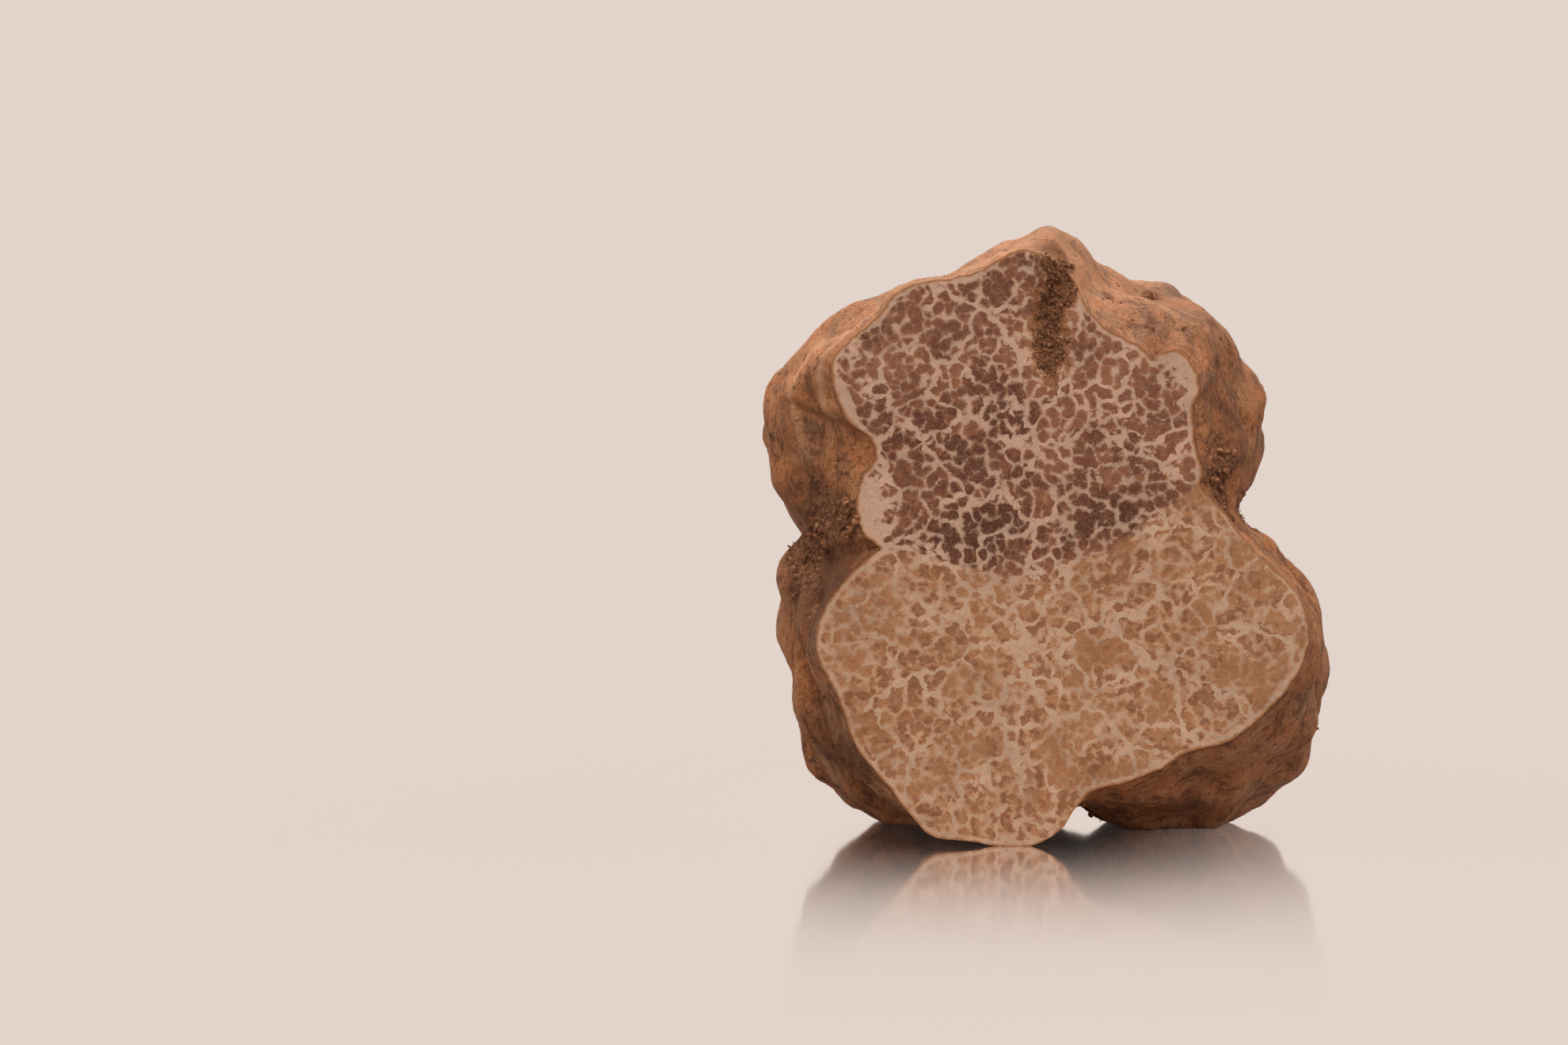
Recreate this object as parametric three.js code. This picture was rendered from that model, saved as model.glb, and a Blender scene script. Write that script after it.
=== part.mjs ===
// A white truffle that has been sliced from the front, standing on a table as it comes to rest.
// Millimetres, +Z up. It is one solid body: a flat knife cut faces -Y, and the skin runs back from
// the cut's rim, out over the widest girth and round to a lobed back.
import * as THREE from "three";

// Driving dimensions
const bodyDepth = 56; // from the knife cut to the back
const girthDepthMean = 17; // how far behind the cut the body is widest, on average
const girthDepthSwing = 5; // deeper towards the lower right lobe by this much, shallower opposite it
const girthDeepestAngle = -60; // degrees
const domePower = 2.35; // 2 is an ellipse, more is a fuller back
const backShift = { x: 1, z: -5 }; // where the back's middle lies beside the cut's middle
const middle = { x: 0, z: 44 }; // the point in the cut that every outline is seen from
const core = { x: 0, depth: 27, z: 38 }; // the point that lobes push away from

// The rim of the knife cut, seen from the front: [x, z], anticlockwise from the right-hand fold
const rimOutline = [
  [19.7, 45.6], [20.0, 47.2], [19.1, 51.0], [18.7, 55.4], [19.6, 58.2], [18.2, 61.7],
  [16.5, 62.8], [14.9, 62.5], [13.8, 61.6], [12.2, 63.1], [7.7, 65.7], [5.4, 68.1],
  [4.3, 70.7], [2.6, 73.1], [0.2, 74.7], [-3.3, 75.4], [-7.8, 73.1], [-11.3, 72.0],
  [-15.8, 71.3], [-18.8, 69.9], [-20.6, 67.6], [-23.8, 64.6], [-26.2, 62.4], [-26.8, 59.9],
  [-25.7, 55.9], [-24.4, 53.6], [-22.3, 52.2], [-21.2, 50.3], [-21.3, 48.9], [-22.9, 46.7],
  [-23.6, 43.4], [-22.6, 39.5], [-20.6, 37.7], [-22.1, 36.6], [-25.6, 33.1], [-28.2, 28.9],
  [-28.6, 24.6], [-25.9, 18.9], [-23.7, 12.9], [-19.8, 7.9], [-16.3, 3.5], [-14.2, 1.4],
  [-9.6, 0.6], [-4.8, 0.0], [-0.6, 0.3], [2.6, 2.5], [4.4, 5.2], [6.2, 7.1],
  [10.9, 8.3], [14.6, 9.8], [18.2, 12.0], [23.5, 13.4], [28.6, 17.5], [32.6, 22.8],
  [33.5, 28.2], [31.8, 32.5], [26.4, 37.7], [22.2, 43.0],
];

// The widest outline, behind the cut
const girthOutline = [
  [28.2, 45.2], [29.5, 49.5], [29.0, 54.2], [26.6, 60.8], [24.1, 64.8], [21.4, 67.8],
  [17.4, 70.3], [11.4, 71.7], [7.9, 73.8], [4.6, 77.4], [1.4, 79.0], [-2.9, 78.3],
  [-7.4, 74.6], [-11.6, 72.0], [-16.3, 71.5], [-21.2, 70.0], [-28.0, 65.7], [-33.8, 59.0],
  [-35.9, 52.8], [-34.8, 47.6], [-34.0, 42.0], [-33.8, 37.0], [-33.6, 30.5], [-32.6, 22.6],
  [-30.9, 14.2], [-26.9, 6.5], [-20.8, 2.1], [-12.0, 1.6], [-3.0, 2.4], [4.0, 2.9],
  [9.0, 1.2], [15.4, -0.1], [22.2, 0.2], [29.5, 3.5], [35.8, 10.2], [37.6, 17.2],
  [37.7, 24.3], [35.3, 32.9], [30.4, 38.5], [26.9, 40.3], [26.3, 42.5],
];

// Lobes and hollows of the skin. angle is round the body in degrees, back is 0 at the rim and 1 at
// the middle of the back, reach and height are in millimetres, and a hollow has a negative height.
const lobes = [
  { angle: 192, back: 0.13, reach: 8, height: -2.6 }, // waist between the two left lobes
  { angle: 186, back: 0.34, reach: 9, height: -1.6 },
  { angle: 352, back: 0.3, reach: 8, height: -3.2 }, // fold between the two right lobes
  { angle: 277, back: 0.22, reach: 7, height: -1.0 }, // gap beside the front foot
  { angle: 150, back: 0.17, reach: 6, height: 0.8 }, // outer lobe on the upper left
  { angle: 172, back: 0.2, reach: 5, height: 1.0 },
  { angle: 22, back: 0.18, reach: 5, height: 0.7 }, // outer lobe on the upper right
  { angle: 3, back: 0.24, reach: 3.5, height: 0.9 }, // small wrinkled lobe above the right fold
  { angle: 52, back: 0.12, reach: 4, height: 0.9 },
  { angle: 226, back: 0.16, reach: 6, height: 0.6 },
  { angle: 318, back: 0.16, reach: 6, height: 0.6 },
  { angle: 62, back: 0.5, reach: 12, height: 3.4 }, // the back's own lobes
  { angle: 118, back: 0.54, reach: 11, height: 3.2 },
  { angle: 88, back: 0.42, reach: 6, height: -2.6 },
  { angle: 160, back: 0.66, reach: 12, height: 3.6 },
  { angle: 208, back: 0.55, reach: 8, height: -2.2 },
  { angle: 246, back: 0.58, reach: 11, height: 2.6 }, // foot at the back left
  { angle: 282, back: 0.6, reach: 7, height: -3.4 },
  { angle: 293, back: 0.42, reach: 9, height: -2.2 }, // lifts the right foot's outer part
  { angle: 8, back: 0.68, reach: 11, height: 3.2 },
  { angle: 338, back: 0.56, reach: 7, height: -3.0 },
  { angle: 74, back: 0.84, reach: 9, height: 2.4 },
  { angle: 198, back: 0.86, reach: 9, height: 2.8 },
  { angle: 318, back: 0.86, reach: 9, height: 2.6 },
  { angle: 28, back: 0.82, reach: 5.5, height: -2.6 },
  { angle: 136, back: 0.82, reach: 5.5, height: -2.6 },
  { angle: 258, back: 0.84, reach: 5.5, height: -2.4 },
];

// Furrows pressed into the skin: the [angle, back] points that each one runs through, its width and
// its depth in millimetres
const furrows = [
  { path: [[98, 0.05], [112, 0.06], [128, 0.05], [143, 0.08], [152, 0.14]], width: 1.7, depth: 1.2 },
  { path: [[126, 0.1], [143, 0.15], [157, 0.2], [170, 0.17]], width: 2.0, depth: 1.1 },
  { path: [[44, 0.15], [34, 0.16], [16, 0.15], [2, 0.14]], width: 1.8, depth: 1.3 },
  { path: [[84, 0.12], [66, 0.2], [48, 0.3], [40, 0.42]], width: 2.0, depth: 1.0 },
  { path: [[205, 0.08], [219, 0.09], [233, 0.08], [246, 0.09]], width: 1.7, depth: 1.3 },
  { path: [[203, 0.2], [220, 0.2], [238, 0.19], [252, 0.22]], width: 2.0, depth: 1.2 },
  { path: [[345, 0.13], [330, 0.16], [312, 0.15], [296, 0.2]], width: 2.0, depth: 0.9 },
  { path: [[150, 0.32], [168, 0.36], [184, 0.3]], width: 2.2, depth: 1.2 },
  { path: [[96, 0.22], [90, 0.45], [98, 0.7], [130, 0.86]], width: 3.0, depth: 1.9 },
  { path: [[186, 0.22], [190, 0.5], [180, 0.76], [134, 0.86]], width: 3.0, depth: 2.1 },
  { path: [[352, 0.22], [346, 0.45], [2, 0.74], [34, 0.85]], width: 3.0, depth: 2.1 },
  { path: [[276, 0.22], [283, 0.5], [270, 0.76], [256, 0.88]], width: 3.0, depth: 2.1 },
  { path: [[34, 0.46], [22, 0.56], [30, 0.7]], width: 2.6, depth: 1.5 },
  { path: [[222, 0.42], [232, 0.52], [226, 0.7]], width: 2.6, depth: 1.5 },
  { path: [[142, 0.46], [148, 0.6], [164, 0.82]], width: 2.6, depth: 1.4 },
];

// Low swells over all the skin: for each, its waves along x, depth and z, in turns per millimetre
const swells = [
  { x: 0.062, depth: 0.031, z: 0.047, phase: 0.2, height: 0.45 },
  { x: -0.045, depth: 0.07, z: 0.03, phase: 0.61, height: 0.4 },
  { x: 0.02, depth: -0.052, z: 0.083, phase: 0.87, height: 0.4 },
  { x: 0.105, depth: 0.08, z: -0.06, phase: 0.43, height: 0.22 },
];

// The soil-filled cleft in the top of the cut: [x, z] down its middle, its half width and its depth
const cleft = { path: [[2.2, 75.0], [1.9, 71.5], [0.6, 67.0], [0.8, 61.5]], width: 1.9, depth: 3.2 };

// Mesh steps
const quiltRings = 16; // rings in the cut and in the back cap; each rim has 8 steps a ring
const flareRings = 8; // rings from the rim to the girth
const sideRings = 13; // rings from the girth to the back cap
const flareShare = 0.27; // share of the way to the back that the flare takes
const capStart = 0.7; // where the back cap begins on that way
const furrowSteps = 12; // samples in each stretch of a furrow

const radians = Math.PI / 180;
const fullTurn = 2 * Math.PI;
// A smooth step from 0 at from to 1 at to, which may lie either way round
const smooth = (from, to, x) => THREE.MathUtils.smoothstep((x - from) / (to - from), 0, 1);

// A closed outline as a radius about the middle: a cubic through its points, by angle.
function radiusOf(outline) {
  const knots = outline
    .map(([x, z]) => ({
      angle: (Math.atan2(z - middle.z, x - middle.x) + fullTurn) % fullTurn,
      radius: Math.hypot(x - middle.x, z - middle.z),
    }))
    .sort((a, b) => a.angle - b.angle);
  const n = knots.length;
  const knot = (i) => {
    const turns = Math.floor(i / n);
    const k = knots[i - turns * n];
    return { angle: k.angle + turns * fullTurn, radius: k.radius };
  };
  const slope = (i) =>
    (knot(i + 1).radius - knot(i - 1).radius) / (knot(i + 1).angle - knot(i - 1).angle);
  return (theta) => {
    const t = ((theta % fullTurn) + fullTurn) % fullTurn;
    let i = knots.findIndex((k) => k.angle > t);
    i = (i < 0 ? n : i) - 1;
    const a = knot(i);
    const b = knot(i + 1);
    const span = b.angle - a.angle;
    const u = (t - a.angle) / span;
    return (
      a.radius * (1 + 2 * u) * (1 - u) ** 2 +
      b.radius * u * u * (3 - 2 * u) +
      span * (slope(i) * u * (1 - u) ** 2 - slope(i + 1) * u * u * (1 - u))
    );
  };
}

const rimRadius = radiusOf(rimOutline);
const girthRadius = radiusOf(girthOutline);

// The girth with its notches evened out, which the back follows
function roundedGirth(theta) {
  const offsets = [-36, -24, -12, 0, 12, 24, 36];
  return offsets.reduce((sum, d) => sum + girthRadius(theta + d * radians), 0) / offsets.length;
}

// A point of the skin before its lobes: theta round the body, back from 0 at the rim to 1
function plainSkin(theta, back) {
  const rim = rimRadius(theta);
  const girth = girthRadius(theta);
  const girthDepth =
    girthDepthMean + girthDepthSwing * Math.cos(theta - girthDeepestAngle * radians);
  let radius;
  let depth;
  if (back < flareShare) {
    const t = back / flareShare;
    radius = rim + (girth - rim) * Math.sin((t * Math.PI) / 2);
    depth = girthDepth * t;
  } else {
    const turn = (((back - flareShare) / (1 - flareShare)) * Math.PI) / 2;
    const c = Math.cos(turn);
    const s = Math.sin(turn);
    const reach = (Math.abs(c) ** domePower + Math.abs(s) ** domePower) ** (-1 / domePower);
    radius = (girth + (roundedGirth(theta) - girth) * s * s) * reach * c;
    depth = girthDepth + (bodyDepth - girthDepth) * reach * s;
  }
  const shift = smooth(0.15, 1, depth / bodyDepth);
  return new THREE.Vector3(
    middle.x + backShift.x * shift + radius * Math.cos(theta),
    depth,
    middle.z + backShift.z * shift + radius * Math.sin(theta),
  );
}

const lobeCentres = lobes.map((l) => plainSkin(l.angle * radians, l.back));
const furrowPoints = furrows.map(({ path }) => {
  const points = [];
  for (let i = 0; i + 1 < path.length; i++)
    for (let k = 0; k <= furrowSteps; k++) {
      const u = k / furrowSteps;
      const angle = path[i][0] + (((path[i + 1][0] - path[i][0] + 540) % 360) - 180) * u;
      points.push(plainSkin(angle * radians, path[i][1] + (path[i + 1][1] - path[i][1]) * u));
    }
  return points;
});

// How far the skin stands out at a plain point
function relief(point, back) {
  let height = 0;
  lobes.forEach((lobe, i) => {
    height += lobe.height * Math.exp(-((point.distanceTo(lobeCentres[i]) / lobe.reach) ** 2));
  });
  furrows.forEach((furrow, i) => {
    const away = Math.min(...furrowPoints[i].map((p) => p.distanceTo(point)));
    height -= furrow.depth * Math.exp(-((away / furrow.width) ** 2));
  });
  for (const swell of swells) {
    const turns = swell.x * point.x + swell.depth * point.y + swell.z * point.z + swell.phase;
    height += swell.height * Math.sin(turns * fullTurn);
  }
  return height * smooth(0, 0.1, back);
}

// How deep the cleft is under a point of the cut
function cleftDepth(x, z) {
  const spot = new THREE.Vector3(x, z, 0);
  const near = new THREE.Vector3();
  let away = Infinity;
  for (let i = 0; i + 1 < cleft.path.length; i++) {
    new THREE.Line3(
      new THREE.Vector3(...cleft.path[i], 0),
      new THREE.Vector3(...cleft.path[i + 1], 0),
    ).closestPointToPoint(spot, true, near);
    away = Math.min(away, near.distanceTo(spot));
  }
  return cleft.depth * smooth(2, 0, away / cleft.width) * smooth(58, 72, z);
}

// The flat feet: nothing goes under the table
function onTable(point) {
  point.z = Math.max(point.z, 0);
  return point;
}

function skinPoint(theta, back) {
  const point = plainSkin(theta, back);
  const outward = point.clone().sub(new THREE.Vector3(core.x, core.depth, core.z)).normalize();
  point.addScaledVector(outward, relief(point, back));
  point.y += cleftDepth(point.x, point.z) * smooth(0.1, 0, back);
  return onTable(point);
}

function cutPoint(theta, share) {
  const x = middle.x + rimRadius(theta) * share * Math.cos(theta);
  const z = middle.z + rimRadius(theta) * share * Math.sin(theta);
  return onTable(new THREE.Vector3(x, cleftDepth(x, z), z));
}

const positions = [];
const triangles = [];

function addPoint(point) {
  positions.push(point.x, point.y, point.z);
  return positions.length / 3 - 1;
}

// A round patch from a square grid: ring k of the grid becomes ring k of the patch, 8k points long.
// Returns the indices of its outer ring, in order of theta. rim, if given, is that ring ready made.
function addQuilt(pointAt, facing, rim) {
  const n = quiltRings;
  const index = new Map();
  const around = 8 * n;
  const outer = new Array(around);
  for (let i = -n; i <= n; i++)
    for (let j = -n; j <= n; j++) {
      const ring = Math.max(Math.abs(i), Math.abs(j));
      let theta = 0;
      if (ring) {
        if (i === ring) theta = j / ring;
        else if (j === ring) theta = 2 - i / ring;
        else if (i === -ring) theta = 4 - j / ring;
        else theta = 6 + i / ring;
        theta *= Math.PI / 4;
      }
      const step = (Math.round((theta / fullTurn) * around) + around) % around;
      const k = ring === n && rim ? rim[step] : addPoint(pointAt(theta, ring / n));
      index.set(i + "," + j, k);
      if (ring === n) outer[step] = k;
    }
  const at = (i, j) => index.get(i + "," + j);
  for (let i = -n; i < n; i++)
    for (let j = -n; j < n; j++) {
      const [a, b, c, d] = [at(i, j), at(i + 1, j), at(i + 1, j + 1), at(i, j + 1)];
      // the diagonal runs outwards, so that a grid corner on the rim keeps two good triangles
      const halves = (i < 0) === (j < 0) ? [[a, b, c], [a, c, d]] : [[a, b, d], [b, c, d]];
      for (const half of halves) triangles.push(...(facing > 0 ? half : half.reverse()));
    }
  return outer;
}

// A band of quads between two rings of the same length
function addBand(front, behind) {
  const n = front.length;
  for (let i = 0; i < n; i++) {
    const j = (i + 1) % n;
    triangles.push(front[i], behind[j], front[j], front[i], behind[i], behind[j]);
  }
}

function truffleGeometry() {
  const cutRim = addQuilt(cutPoint, 1);
  const around = cutRim.length;
  const steps = [];
  for (let k = 1; k <= flareRings; k++) steps.push((flareShare * k) / flareRings);
  for (let k = 1; k <= sideRings; k++)
    steps.push(flareShare + ((capStart - flareShare) * k) / sideRings);
  let last = cutRim;
  for (const back of steps) {
    const ring = [];
    for (let i = 0; i < around; i++) ring.push(addPoint(skinPoint((i / around) * fullTurn, back)));
    addBand(last, ring);
    last = ring;
  }
  addQuilt((theta, share) => skinPoint(theta, 1 - (1 - capStart) * share), -1, last);

  const geometry = new THREE.BufferGeometry();
  geometry.setAttribute("position", new THREE.Float32BufferAttribute(positions, 3));
  geometry.setIndex(triangles);
  geometry.computeBoundingBox();
  const box = geometry.boundingBox;
  geometry.translate(-(box.min.x + box.max.x) / 2, -(box.min.y + box.max.y) / 2, -box.min.z);
  geometry.computeVertexNormals();
  return geometry;
}

const truffleMaterial = new THREE.MeshStandardMaterial({
  color: new THREE.Color(0.47, 0.31, 0.2),
  roughness: 0.8,
  metalness: 0,
});

const truffle = new THREE.Mesh(truffleGeometry(), truffleMaterial);
truffle.name = "truffle";

const part = new THREE.Group();
part.add(truffle);

export default part;
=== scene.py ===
# A white truffle standing with its knife cut towards the camera: marbled flesh in the cut, a soil-filled
# cleft at its top, and a lobed, furrowed skin all round. Shapes are worked out in millimetres.
from math import cos, radians, sin

import bpy
import numpy as np
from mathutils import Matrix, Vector


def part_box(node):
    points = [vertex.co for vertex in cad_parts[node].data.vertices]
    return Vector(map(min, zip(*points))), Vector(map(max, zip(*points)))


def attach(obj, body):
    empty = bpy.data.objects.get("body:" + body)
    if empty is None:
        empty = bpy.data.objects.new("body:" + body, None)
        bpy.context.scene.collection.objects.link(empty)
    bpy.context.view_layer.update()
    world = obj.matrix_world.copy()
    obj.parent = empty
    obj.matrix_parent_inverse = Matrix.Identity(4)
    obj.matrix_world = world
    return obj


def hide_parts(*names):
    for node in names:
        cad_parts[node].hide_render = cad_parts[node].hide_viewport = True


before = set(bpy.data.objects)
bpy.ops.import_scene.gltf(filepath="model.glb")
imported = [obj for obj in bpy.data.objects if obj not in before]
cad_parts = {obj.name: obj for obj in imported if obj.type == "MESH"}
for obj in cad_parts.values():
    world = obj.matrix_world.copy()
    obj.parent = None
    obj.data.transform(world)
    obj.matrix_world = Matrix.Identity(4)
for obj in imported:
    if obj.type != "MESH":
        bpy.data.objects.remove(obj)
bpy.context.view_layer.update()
lowCorner = np.array(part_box("truffle")[0]) * 1000
print("frame loaded")

mm = 0.001


# Camera: nearly as high as the truffle's top, looking down a little, and to its left, as in the picture
view = {
    "aim": (-34.6, 41.1),  # x and z of the point in the cut's plane that is in the middle of the picture
    "distance": 550,
    "elevation": 3,
    "lens": 100,
    "sensor": 36,
}


def makeCamera():
    data = bpy.data.cameras.new("camera")
    data.lens, data.sensor_width = view["lens"], view["sensor"]
    data.clip_start, data.clip_end = 0.01, 20
    camera = bpy.data.objects.new("camera", data)
    tilt = radians(view["elevation"])
    camera.location = (
        view["aim"][0] * mm,
        (lowCorner[1] - view["distance"] * cos(tilt)) * mm,
        (view["aim"][1] + view["distance"] * sin(tilt)) * mm,
    )
    camera.rotation_euler = (radians(90) - tilt, 0, 0)
    bpy.context.collection.objects.link(camera)
    bpy.context.scene.camera = camera


makeCamera()


# Small helpers for shader trees
def feed(tree, socket, value):
    # link the socket, or set it where the value is plain
    if isinstance(value, bpy.types.NodeSocket):
        tree.links.new(value, socket)
    else:
        socket.default_value = value


def addNode(tree, kind, inputs=(), **settings):
    node = tree.nodes.new("ShaderNode" + kind)
    for name, value in settings.items():
        setattr(node, name, value)
    for name, value in dict(inputs).items():
        feed(tree, node.inputs[name], value)
    return node


def math(tree, operation, a, b=0.0, clamp=False, third=0.0):
    return addNode(tree, "Math", {0: a, 1: b, 2: third}, operation=operation, use_clamp=clamp).outputs[0]


def times(tree, value, factor):
    return math(tree, "MULTIPLY", value, factor)


def total(tree, first, *others):
    # the sum of all of them
    for other in others:
        first = math(tree, "ADD", first, other)
    return first


def vectorMath(tree, operation, a, b=(0, 0, 0), scale=None):
    other = {1: b} if scale is None else {"Scale": scale}
    node = addNode(tree, "VectorMath", {0: a, **other}, operation=operation)
    return node.outputs["Value" if operation in ("LENGTH", "DISTANCE") else "Vector"]


def ramp(tree, value, low, high, start=0.0, end=1.0):
    # a smooth step of value: start up to low, end from high on
    inputs = {"Value": value, "From Min": low, "From Max": high, "To Min": start, "To Max": end}
    return addNode(tree, "MapRange", inputs, interpolation_type="SMOOTHSTEP").outputs[0]


def mixColour(tree, factor, a, b, blend="MIX"):
    # from colour a to colour b by the factor
    node = addNode(tree, "Mix", data_type="RGBA", blend_type=blend)
    for index, value in ((0, factor), (6, a), (7, b)):
        feed(tree, node.inputs[index], (*value, 1.0) if isinstance(value, tuple) else value)
    return node.outputs[2]


def attribute(tree, name):
    return addNode(tree, "Attribute", attribute_name=name).outputs["Fac"]


def noise(tree, where, size, detail=2.0, roughness=0.5, distortion=0.0):
    # cloudy noise from 0 to 1 whose largest clouds are of that size in millimetres
    inputs = {"Vector": where, "Scale": 1 / size, "Detail": detail, "Roughness": roughness,
              "Distortion": distortion}
    return addNode(tree, "TexNoise", inputs).outputs[0]


def centredNoise(tree, *settings):
    return math(tree, "SUBTRACT", noise(tree, *settings), 0.5)


def millimetres(tree, stretch=(1, 1, 1)):
    # Object coordinates in millimetres, times a stretch
    where = addNode(tree, "TexCoord").outputs["Object"]
    scale = tuple(s / mm for s in stretch)
    return addNode(tree, "Mapping", {"Vector": where, "Scale": scale}).outputs[0]


def newMaterial(name):
    material = bpy.data.materials.new(name)
    material.use_nodes = True
    tree = material.node_tree
    return material, tree, tree.nodes["Principled BSDF"]


# Stage: a pale polished table under an even sky of the same colour, so that they run into each other
stageLook = {
    "colour": (0.761, 0.658, 0.597),
    "fill": 0.26,  # how bright that sky is to matt surfaces, next to how it looks
    "matt": 0.8,  # share of the fill that the table's matt part gives back
    "polish": 0.98,  # mirror share close to the truffle
    "fade": 60,  # millimetres over which that share falls off, past the truffle's own footprint
    "footprint": 27,
    "footprintStretch": (1.5, 1, 1),
    "footprintMove": (15, 0, 0),
    "roughness": 0.075,
    "halfWidth": 30000,
}


def makeStage():
    # one large square; its matt part and its own glow add up to the sky's colour
    s = stageLook
    half = s["halfWidth"] * mm
    corners = [(-half, -half, 0), (half, -half, 0), (half, half, 0), (-half, half, 0)]
    mesh = bpy.data.meshes.new("table")
    mesh.from_pydata(corners, [], [(0, 1, 2, 3)])
    table = bpy.data.objects.new("table", mesh)
    bpy.context.collection.objects.link(table)
    material, tree, shader = newMaterial("paleTable")
    tree.nodes.remove(shader)
    bounced = addNode(tree, "LightPath").outputs["Is Diffuse Ray"]
    glow = ramp(tree, bounced, 0.0, 1.0, 1 - s["matt"] * s["fill"], (1 - s["matt"]) * s["fill"])
    emission = addNode(tree, "Emission", {"Color": (*s["colour"], 1), "Strength": glow})
    matt = addNode(tree, "BsdfDiffuse", {"Color": (s["matt"],) * 3 + (1,)})
    both = addNode(tree, "AddShader", {0: emission.outputs[0], 1: matt.outputs[0]})
    gloss = addNode(tree, "BsdfGlossy", {"Color": (1, 1, 1, 1), "Roughness": s["roughness"]})
    # the polish fades away from the truffle, as a bell of the distance from its footprint
    place = vectorMath(tree, "ADD", millimetres(tree, s["footprintStretch"]), s["footprintMove"])
    away = math(tree, "SUBTRACT", vectorMath(tree, "LENGTH", place), s["footprint"])
    away = math(tree, "DIVIDE", math(tree, "MAXIMUM", away, 0.0), s["fade"])
    bell = math(tree, "EXPONENT", times(tree, math(tree, "POWER", away, 2.0), -1.0))
    share = times(tree, bell, s["polish"])
    mixed = addNode(tree, "MixShader", {0: share, 1: both.outputs[0], 2: gloss.outputs[0]})
    feed(tree, tree.nodes["Material Output"].inputs["Surface"], mixed.outputs[0])
    mesh.materials.append(material)
    return table


lights = {
    "key": {"place": (-60, -380, 500), "size": 380, "watts": 2.9},
    "top": {"place": (-40, 120, 560), "size": 360, "watts": 3.0},
    "left": {"place": (-560, -60, 330), "size": 260, "watts": 1.5},
    "right": {"place": (560, -200, 160), "size": 300, "watts": 1.25},
}


def makeLights(table):
    # soft lamps that light the truffle and leave the table even
    notTable = bpy.data.collections.new("notTable")
    notTable.objects.link(table)
    notTable.collection_objects[0].light_linking.link_state = "EXCLUDE"
    for name, light in lights.items():
        data = bpy.data.lights.new(name, "AREA")
        data.size, data.energy = light["size"] * mm, light["watts"]
        lamp = bpy.data.objects.new(name, data)
        lamp.location = [v * mm for v in light["place"]]
        towards = np.array((0, 0, 40)) - light["place"]
        lamp.rotation_euler = Vector(towards).to_track_quat("-Z", "Y").to_euler()
        lamp.light_linking.receiver_collection = notTable
        bpy.context.collection.objects.link(lamp)
    world = bpy.data.worlds.new("world")
    world.use_nodes = True
    tree = world.node_tree
    background = tree.nodes["Background"]
    bounced = addNode(tree, "LightPath").outputs["Is Diffuse Ray"]
    feed(tree, background.inputs["Color"], (*stageLook["colour"], 1))
    feed(tree, background.inputs["Strength"], ramp(tree, bounced, 0.0, 1.0, 1.0, stageLook["fill"]))
    bpy.context.scene.world = world
    bpy.context.scene.view_settings.view_transform = "Standard"


makeLights(makeStage())
print("camera, stage and lights made")


# Shape of the truffle, as the solid has it. Points are x, depth behind the cut, z.
body = {
    "depth": 56,
    "girthDepthMean": 17,
    "girthDepthSwing": 5,
    "girthDeepestAngle": -60,
    "domePower": 2.35,
    "backShift": (1, 0, -5),
    "middle": (0, 44),
    "core": (0, 27, 38),
    "flareShare": 0.27,
    "furrowSteps": 12,
    "domeLength": 70,
    "grainStretch": 0.42,
}
# The rim of the knife cut, seen from the front: [x, z], anticlockwise from the right-hand fold
rimOutline = [
    [19.7, 45.6], [20.0, 47.2], [19.1, 51.0], [18.7, 55.4], [19.6, 58.2], [18.2, 61.7],
    [16.5, 62.8], [14.9, 62.5], [13.8, 61.6], [12.2, 63.1], [7.7, 65.7], [5.4, 68.1],
    [4.3, 70.7], [2.6, 73.1], [0.2, 74.7], [-3.3, 75.4], [-7.8, 73.1], [-11.3, 72.0],
    [-15.8, 71.3], [-18.8, 69.9], [-20.6, 67.6], [-23.8, 64.6], [-26.2, 62.4], [-26.8, 59.9],
    [-25.7, 55.9], [-24.4, 53.6], [-22.3, 52.2], [-21.2, 50.3], [-21.3, 48.9], [-22.9, 46.7],
    [-23.6, 43.4], [-22.6, 39.5], [-20.6, 37.7], [-22.1, 36.6], [-25.6, 33.1], [-28.2, 28.9],
    [-28.6, 24.6], [-25.9, 18.9], [-23.7, 12.9], [-19.8, 7.9], [-16.3, 3.5], [-14.2, 1.4],
    [-9.6, 0.6], [-4.8, 0.0], [-0.6, 0.3], [2.6, 2.5], [4.4, 5.2], [6.2, 7.1],
    [10.9, 8.3], [14.6, 9.8], [18.2, 12.0], [23.5, 13.4], [28.6, 17.5], [32.6, 22.8],
    [33.5, 28.2], [31.8, 32.5], [26.4, 37.7], [22.2, 43.0],
]
# The widest outline, behind the cut
girthOutline = [
    [28.2, 45.2], [29.5, 49.5], [29.0, 54.2], [26.6, 60.8], [24.1, 64.8], [21.4, 67.8],
    [17.4, 70.3], [11.4, 71.7], [7.9, 73.8], [4.6, 77.4], [1.4, 79.0], [-2.9, 78.3],
    [-7.4, 74.6], [-11.6, 72.0], [-16.3, 71.5], [-21.2, 70.0], [-28.0, 65.7], [-33.8, 59.0],
    [-35.9, 52.8], [-34.8, 47.6], [-34.0, 42.0], [-33.8, 37.0], [-33.6, 30.5], [-32.6, 22.6],
    [-30.9, 14.2], [-26.9, 6.5], [-20.8, 2.1], [-12.0, 1.6], [-3.0, 2.4], [4.0, 2.9],
    [9.0, 1.2], [15.4, -0.1], [22.2, 0.2], [29.5, 3.5], [35.8, 10.2], [37.6, 17.2],
    [37.7, 24.3], [35.3, 32.9], [30.4, 38.5], [26.9, 40.3], [26.3, 42.5],
]
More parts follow.
